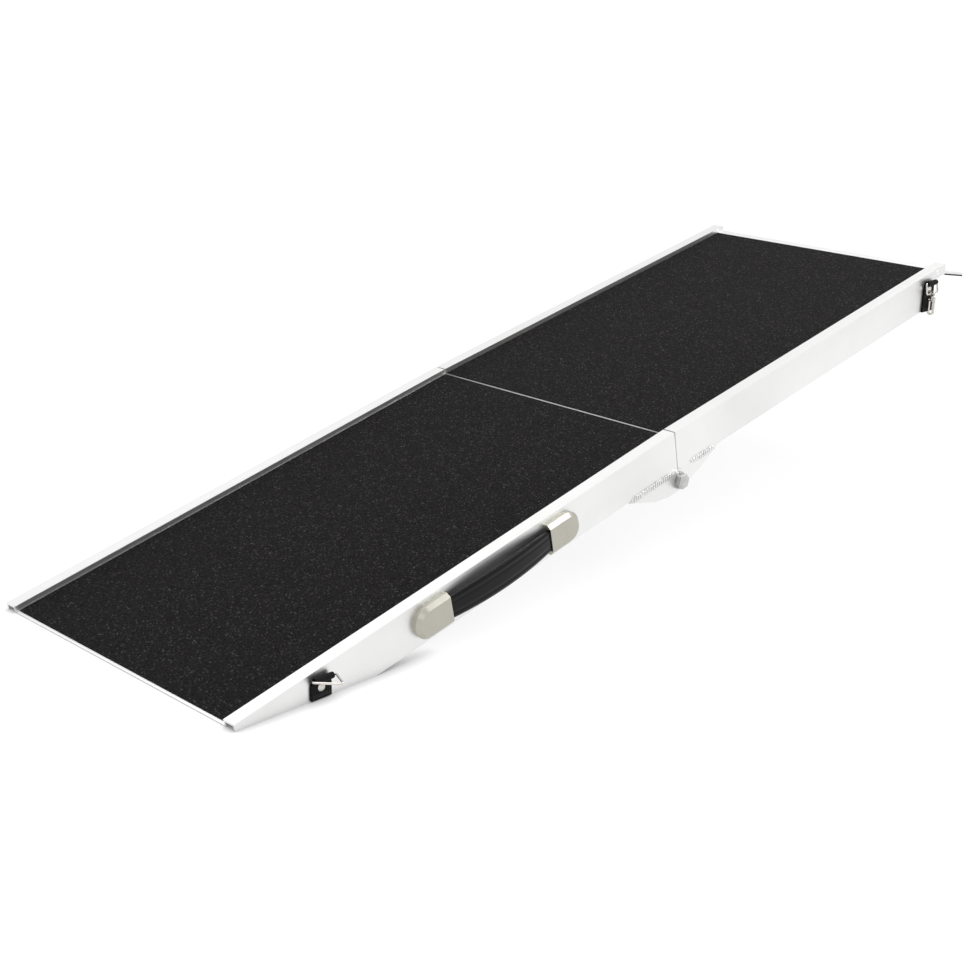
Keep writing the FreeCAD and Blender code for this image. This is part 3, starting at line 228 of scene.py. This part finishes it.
def weave(name):
    """Black nylon webbing: a tight rib across and a finer yarn along."""
    g = Graph(name)
    ribs = g.add("ShaderNodeTexWave", wave_type="BANDS", bands_direction="Z")
    g.link(g.object_space, ribs.inputs["Vector"])
    ribs.inputs["Scale"].default_value = 190.0
    ribs.inputs["Distortion"].default_value = 0.6
    yarn = g.add("ShaderNodeTexWave", wave_type="BANDS", bands_direction="X")
    g.link(g.object_space, yarn.inputs["Vector"])
    yarn.inputs["Scale"].default_value = 150.0
    yarn.inputs["Distortion"].default_value = 1.0
    fuzz = g.noise(g.object_space, 1600.0, 3.0)
    mixed = g.math("MULTIPLY", ribs.outputs["Fac"], yarn.outputs["Fac"])
    # painted shade and light: the darker colour lies in the weave's hollows, the lighter one on the
    # raised yarn
    shade, thread = (0.0015, 0.0014, 0.0014), (0.009, 0.0085, 0.0085)
    g.drive("Base Color", g.mix(g.ramp(mixed, 0, 0.6, 0, 1), shade, thread))
    g.value("Roughness", 0.72)
    g.value("Specular IOR Level", 0.15)
    g.bump(g.math("ADD", mixed, g.math("MULTIPLY", fuzz, 0.4)), 0.7, 0.0006)
    return g.material


def moulded(name, colour, rough, pebble=1100.0, strength=0.1, coat=0.0, metallic=0.0, shine=0.5):
    """Moulded plastic: a fine mould texture and slightly uneven gloss."""
    g = Graph(name)
    clouds = g.noise(g.object_space, 55.0, 3.0)
    fine = g.noise(g.object_space, pebble, 2.0)
    lighter = tuple(min(1.0, 1.15 * c + 0.002) for c in colour)
    g.drive("Base Color", g.mix(clouds, colour, lighter))
    g.drive("Roughness", g.ramp(clouds, 0.3, 0.7, rough, rough + 0.1))
    g.value("Coat Weight", coat)
    g.value("Coat Roughness", 0.12)
    g.value("Metallic", metallic)
    g.value("Specular IOR Level", shine)
    g.bump(fine, strength, 0.0002)
    return g.material


SHEET_LOOK = ((0.80, 0.805, 0.81), (0.40, 0.50))
METAL_LOWER = extruded_metal("lower aluminium", LOWER_SLOPE)
METAL_UPPER = extruded_metal("upper aluminium", UPPER_SLOPE)
SHEET_LOWER = extruded_metal("lower deck sheet", LOWER_SLOPE, *SHEET_LOOK)
SHEET_UPPER = extruded_metal("upper deck sheet", UPPER_SLOPE, *SHEET_LOOK)
GRIT = grip_tape("grip tape")
WEBBING = weave("webbing")
ZINC = plain_metal("zinc plated steel", (0.52, 0.52, 0.51), 0.16)
PLATED = plain_metal("nickel plated wire", (0.66, 0.635, 0.59), 0.10, 900.0, 0.05)
RIVET = plain_metal("rivet aluminium", (0.86, 0.865, 0.87), 0.28)
WELD = plain_metal("weld metal", (0.74, 0.74, 0.735), 0.10, 1300.0, 0.12)
SPRING = plain_metal("spring steel", (0.35, 0.37, 0.40), 0.3)
NYLON = moulded("nylon", (0.78, 0.78, 0.74), 0.45)
GRIP = moulded("grip plastic", (0.0022, 0.0021, 0.0022), 0.17, 1500.0, 0.05, shine=0.16)
CAP = moulded("satin painted cap", (0.39, 0.38, 0.33), 0.26, 1800.0, 0.08, coat=0.1, metallic=0.9)
RUBBER = moulded("black rubber", (0.006, 0.006, 0.006), 0.6, 900.0, 0.15, shine=0.2)
THREAD = moulded("bonded thread", (0.03, 0.03, 0.032), 0.5)


def paint(names, material):
    """Gives CAD nodes one material."""
    for name in names:
        slots = nodes[name].data.materials
        slots.clear()
        slots.append(material)


def soften(names, width, segments=3, angle=30):
    """Small rounded edges on CAD nodes, as extruding, sawing and moulding leave."""
    for name in names:
        modifier = nodes[name].modifiers.new("edge", "BEVEL")
        modifier.width = width
        modifier.segments = segments
        modifier.limit_method = "ANGLE"
        modifier.angle_limit = math.radians(angle)


def both_sides(*names):
    return [f"{name}_{side}" for name in names for side in ("right", "left")]


def cross_tubes(panel):
    return [f"{panel}_cross_tube_{i}" for i in (1, 2, 3)]


lower_metal = both_sides("lower_rail", "lower_gusset") + cross_tubes("lower") + ["toe_edge"]
upper_metal = both_sides("upper_rail", "upper_gusset", "end_block") + cross_tubes("upper") + ["lip"]
paint(lower_metal, METAL_LOWER)
paint(upper_metal, METAL_UPPER)
paint(["lower_deck"], SHEET_LOWER)
paint(["upper_deck"], SHEET_UPPER)
paint(["lower_grip_tape", "upper_grip_tape"], GRIT)
paint(["hinge_bolts", "hinge_washers", "hinge_lock_nuts", "handle_screws"], ZINC)
paint(["hinge_spacers"], NYLON)
paint(["lip_pad"], RUBBER)
paint(["handle_core"], SPRING)
paint(["handle_cap_lower", "handle_cap_upper"], CAP)
paint(["lower_tab_rivet", "upper_tab_rivet"], PLATED)
paint(["end_rivets", "lower_deck_rivets", "upper_deck_rivets", "lip_rivets"], RIVET)
paint(["lower_ring", "upper_ring", "hook_eye", "hook_body", "hook_gate", "hook_gate_pin"], PLATED)
soften(both_sides("lower_rail", "upper_rail", "upper_gusset") + ["toe_edge"], 0.0004, 2)
soften(both_sides("lower_gusset") + ["lip", "lip_pad"], 0.0005, 2)
soften(["handle_cap_lower", "handle_cap_upper"], 0.0011, 4, 20)
soften(["hinge_bolts", "hinge_lock_nuts"], 0.0005, 2)
soften(["hook_body", "hook_gate"], 0.0005)


# ---- building pieces ----


def add_mesh(name, points, faces, matrix, material, body, slot):
    """A piece from points in metres in the frame that matrix places, riding on a body."""
    data = bpy.data.meshes.new(name)
    data.from_pydata([matrix @ Vector(p) for p in points], [], faces)
    data.validate()
    build = bmesh.new()
    build.from_mesh(data)
    bmesh.ops.recalc_face_normals(build, faces=build.faces)
    build.to_mesh(data)
    build.free()
    for polygon in data.polygons:
        polygon.use_smooth = True
    ob = bpy.data.objects.new(name, data)
    bpy.context.scene.collection.objects.link(ob)
    data.materials.append(material)
    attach(ob, body)
    return ob


def skin(rings):
    """Points and faces of a closed tube through rings of equally many points."""
    count = len(rings[0])
    last = (len(rings) - 1) * count
    points = [p for ring in rings for p in ring]
    faces = []
    for base in range(0, last, count):
        for k in range(count):
            after = (k + 1) % count
            faces.append((base + k, base + after, base + count + after, base + count + k))
    faces.append(tuple(range(count)))
    faces.append(tuple(last + k for k in reversed(range(count))))
    return points, faces


def squared(angle, power_across, power_out):
    """Cosine and sine of an angle, pressed towards a box with round corners."""
    c, s = math.cos(angle), math.sin(angle)
    return math.copysign(abs(c) ** power_across, c), math.copysign(abs(s) ** power_out, s)


# ---- handle grip: bowed, wide in the middle, ribbed along its face ----

HANDLE_X = 0.3365
HANDLE_Z = -0.0168
MOUTH = 0.0745  # from the grip's middle to a cap's mouth
GRIP_HALF = 0.086  # half the grip's length, its ends hidden in the caps
GRIP_RIDGES = 4
RIDGE_DEPTH = 0.00055
SECTION_POINTS = 160
GRIP_STEPS = 120
# each at the cap's mouth, and what the middle adds to it
GRIP_WIDTH, WIDER = 0.0249, 0.0038
GRIP_THICK, THICKER = 0.0061, 0.0013
GRIP_BACK, STANDS_OFF = 0.0021, 0.0043


def grip_section(x):
    """Points round the grip at x from its middle, in the lower panel's frame."""
    share = min(1.0, abs(x) / MOUTH)
    bow = 1.0 - share**2
    width = GRIP_WIDTH + WIDER * bow
    thick = GRIP_THICK + THICKER * bow
    back = GRIP_BACK + STANDS_OFF * bow
    ring = []
    for i in range(SECTION_POINTS):
        c, s = squared(2 * math.pi * i / SECTION_POINTS, 0.42, 0.62)
        across, out = c * width / 2, s * thick / 2
        if s > 0:
            wave = 0.5 - 0.5 * math.cos(2 * math.pi * GRIP_RIDGES * (across / width + 0.5))
            edge = 1.0 - abs(2 * across / width) ** 8
            out -= RIDGE_DEPTH * (1 - wave) * edge
        y = WALL_Y - (back + thick / 2 + out)
        ring.append((HANDLE_X + x, y, HANDLE_Z + across))
    return ring


grip_rings = [
    grip_section(-GRIP_HALF + 2 * GRIP_HALF * i / GRIP_STEPS) for i in range(GRIP_STEPS + 1)
]
grip = add_mesh(
    "handle_grip_ribbed", *skin(grip_rings), LOWER, GRIP, "lower_panel", "ridged_grip"
)
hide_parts("handle_grip")


# ---- weld beads: a row of overlapping puddles ----


PUDDLE_PITCH = 0.0036
PUDDLE_STEPS = 14
BEAD_POINTS = 20
BEAD_RISE = 0.0042
BEAD_PROUD = 0.0025
BEAD_CURL = -0.0017
BEAD_ROOT = 0.0005  # how far the bead's back sits inside the wall
BEAD_ROOT_RISE = 0.0032


def weld_bead(name, matrix, side, start, end, body, seed):
    """Overlapping puddles with scalloped edges along the foot of a rail's wall."""
    draw = random.Random(seed)
    rings = []
    count = int((end - start) / PUDDLE_PITCH)
    puddles = [
        (draw.uniform(-0.0003, 0.0003), draw.uniform(0.90, 1.06)) for _ in range(count + 1)
    ]
    total = count * PUDDLE_STEPS
    for i in range(total + 1):
        t = i / PUDDLE_STEPS
        k = min(count, int(t))
        local = t - int(t)
        shift, scale = puddles[k]
        cap = math.sin(math.pi / 2 * min(1.0, 0.12 + min(t, count - t) * 0.34))
        # a puddle's back edge stands over the one before, so the bead steps at each
        step = 1.0 - 0.62 * local**1.6
        scallop = 0.80 + 0.20 * math.sin(math.pi * min(1.0, local * 1.15))
        x = start + (end - start) * i / total
        ring = []
        for j in range(BEAD_POINTS):
            angle = math.pi * j / (BEAD_POINTS - 1)
            top_side = 1.0 if j < BEAD_POINTS / 2 else 0.94
            up = math.cos(angle) * BEAD_RISE * scallop * scale * cap * top_side + shift * cap
            out = math.sin(angle) ** 0.7 * BEAD_PROUD * step * scale * cap
            curl = BEAD_CURL * math.sin(angle)
            ring.append((x + curl, side * (WALL_HALF + out), WELD_Z + up))
        for root in (-BEAD_ROOT_RISE, BEAD_ROOT_RISE):
            ring.append((x, side * (WALL_HALF - BEAD_ROOT), WELD_Z + root * cap))
        rings.append(ring)
    return add_mesh(name, *skin(rings), matrix, WELD, body, "satin_aluminium")


LOWER_BEAD = (0.5485, 0.6235)
UPPER_BEAD = (0.6560, 0.7045)
for side, key in ((-1, "right"), (1, "left")):
    bead = weld_bead(f"lower_weld_{key}", LOWER, side, *LOWER_BEAD, "lower_panel", 11 + side)
    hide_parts("lower_gusset_welds")
    bead = weld_bead(f"upper_weld_{key}", UPPER, side, *UPPER_BEAD, "upper_panel", 21 + side)
    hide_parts("upper_gusset_welds")


# ---- webbing tabs: one strap folded over the ring's wire and riveted to the rail ----

PLY = 0.00115
FOLDED = 0.0024  # both plies and the air between them
WEB_HALF = 0.0125
LOOP_HALF = 0.0115
ROLL_OUT = 0.0052  # the wire's middle, out from the wall
ROLL_RADIUS = 0.0033
NECK_DROP = 0.0056  # from the wire's middle down to where the plies meet
RIBBON_POINTS = 24
THREAD_RADIUS = 0.00028
THREAD_OUT = 0.00245
STITCH_PITCH = 0.0027
STITCH_HALF = 0.00105
STITCH_TAPER = 0.00112
STITCHES_IN_ROW = 8
LOWER_FOOT, UPPER_FOOT = 0.0113, 0.0303
LOWER_ROWS = (-0.0067, -0.0086)
UPPER_ROWS = (-0.0095, -0.0112, -0.0258, -0.0275)


def tab_path(rise, foot):
    """Middle line of the folded strap as (out from the wall, height) pairs, outer ply first."""
    radius = ROLL_RADIUS - PLY / 2
    outer, inner = FOLDED - PLY / 2, PLY / 2
    neck = rise - NECK_DROP
    path = [(outer + 0.0001, neck + (-foot - neck) * (7 - i) / 7) for i in range(8)]
    # out to the front of the wire, over it, and back to the wall
    for degrees in range(-52, 181, 12):
        angle = math.radians(degrees)
        path.append((ROLL_OUT + radius * math.cos(angle), rise + radius * math.sin(angle)))
    path.append((inner + 0.0004, rise - 0.0036))
    path += [(inner, neck + (-foot - neck) * i / 6) for i in range(7)]
    return path


def strap_tab(name, matrix, rise, foot, body):
    """The folded strap as a closed ribbon, a little narrower where it goes over the wire."""
    path = tab_path(rise, foot)
    rings = []
    count = len(path)
    for i, (out, up) in enumerate(path):
        before, after = path[max(0, i - 1)], path[min(count - 1, i + 1)]
        tangent = Vector((after[0] - before[0], after[1] - before[1])).normalized()
        normal = Vector((tangent.y, -tangent.x))
        pinch = min(1.0, max(0.0, (up - rise + 0.0075) / 0.005))
        half_width = WEB_HALF + (LOOP_HALF - WEB_HALF) * pinch
        ring = []
        for k in range(RIBBON_POINTS):
            angle = 2 * math.pi * k / RIBBON_POINTS
            c, s = squared(angle, 0.25, 0.5)
            half = s * PLY / 2 * (1 - 0.12 * abs(math.cos(angle)) ** 4)
            ring.append((c * half_width, WALL_Y - (out + normal.x * half), up + normal.y * half))
        rings.append(ring)
    return add_mesh(name, *skin(rings), matrix, WEBBING, body, "webbing")


def stitch_rings(x, height):
    """One lock stitch: a short thread that narrows to both ends."""
    rings = []
    for j in range(7):
        along = -STITCH_HALF + 2 * STITCH_HALF * j / 6
        radius = THREAD_RADIUS * math.sqrt(max(0.03, 1 - (along / STITCH_TAPER) ** 2))
        ring = []
        for k in range(8):
            angle = 2 * math.pi * k / 8
            out = THREAD_OUT + radius * math.cos(angle)
            ring.append((x + along, WALL_Y - out, height + radius * math.sin(angle)))
        rings.append(ring)
    return rings


def stitches(name, matrix, heights, body):
    """Lock stitches in rows across the tab, standing just proud of the outer ply."""
    points, faces = [], []
    for height in heights:
        for i in range(STITCHES_IN_ROW):
            x = (i - (STITCHES_IN_ROW - 1) / 2) * STITCH_PITCH
            new_points, new_faces = skin(stitch_rings(x, height))
            base = len(points)
            points += new_points
            faces += [tuple(base + k for k in face) for face in new_faces]
    return add_mesh(name, points, faces, matrix, THREAD, body, "webbing")


tab = strap_tab("lower_strap", LOWER_HUNG, LOWER_RISE, LOWER_FOOT, "lower_panel")
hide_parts("lower_tab")
stitches("lower_strap_stitches", LOWER_HUNG, LOWER_ROWS, "lower_panel")
tab = strap_tab("upper_strap", UPPER_HUNG, UPPER_RISE, UPPER_FOOT, "upper_panel")
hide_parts("upper_tab")
stitches("upper_strap_stitches", UPPER_HUNG, UPPER_ROWS, "upper_panel")


# ---- floor, light and camera ----

CONTACT = 0.02
REACH = 60.0
floor_material = Graph("floor")
floor_material.value("Base Color", (0.22, 0.22, 0.22, 1))
floor_material.value("Roughness", 0.8)
floor_material.value("Specular IOR Level", 0.1)
floor_material.value("Emission Color", (1, 1, 1, 1))
# the floor glows like a lit paper sweep, less so within CONTACT of what stands on it: a painted
# contact shadow
contact_shadow = floor_material.add("ShaderNodeAmbientOcclusion", samples=8)
contact_shadow.inputs["Distance"].default_value = CONTACT
glow = floor_material.ramp(contact_shadow.outputs["AO"], 0.1, 0.95, 0.08, 0.80)
floor_material.drive("Emission Strength", glow)
floor_data = bpy.data.meshes.new("floor")
corners = ((-1, -1), (1, -1), (1, 1), (-1, 1))
floor_data.from_pydata([(x * REACH, y * REACH, 0) for x, y in corners], [], [(0, 1, 2, 3)])
floor = bpy.data.objects.new("floor", floor_data)
floor_data.materials.append(floor_material.material)
bpy.context.scene.collection.objects.link(floor)

world = bpy.data.worlds.new("studio")
bpy.context.scene.world = world
world.use_nodes = True
background = world.node_tree.nodes["Background"]
background.inputs["Color"].default_value = (1.0, 1.0, 1.0, 1)
background.inputs["Strength"].default_value = 1.0
bpy.context.scene.view_settings.view_transform = "Standard"


def softbox(name, place, target, size, power):
    """A rectangular lamp at place, facing target."""
    data = bpy.data.lights.new(name, "AREA")
    data.shape = "RECTANGLE"
    data.size, data.size_y = size
    data.energy = power
    ob = bpy.data.objects.new(name, data)
    ob.location = place
    ob.rotation_euler = (Vector(target) - Vector(place)).to_track_quat("-Z", "Y").to_euler()
    bpy.context.scene.collection.objects.link(ob)


softbox("top", (0.2, 0.5, 2.8), (0.6, 0, 0.1), (3.0, 2.4), 36)
softbox("front", (-1.2, -2.2, 1.5), (0.5, 0, 0.1), (1.8, 1.2), 4)
softbox("strip", (1.6, -0.8, 1.5), (0.32, -0.2, 0.06), (2.0, 0.15), 12)

camera_data = bpy.data.cameras.new("camera")
camera_data.lens = 60.49
camera_data.sensor_width = 36.0
camera = bpy.data.objects.new("camera", camera_data)
bpy.context.scene.collection.objects.link(camera)
CAMERA_AT = Vector((-0.8214, -1.2549, 0.6825))
LOOK = Vector((0.68725, 0.65060, -0.32306)).normalized()
ROLL = math.radians(1.492)
side_way = LOOK.cross(Vector((0, 0, 1))).normalized()
up_way = side_way.cross(LOOK)
right = side_way * math.cos(ROLL) + up_way * math.sin(ROLL)
up = right.cross(LOOK)
turn = Matrix((right, up, -LOOK)).transposed().to_4x4()
camera.matrix_world = Matrix.Translation(CAMERA_AT) @ turn
bpy.context.scene.camera = camera
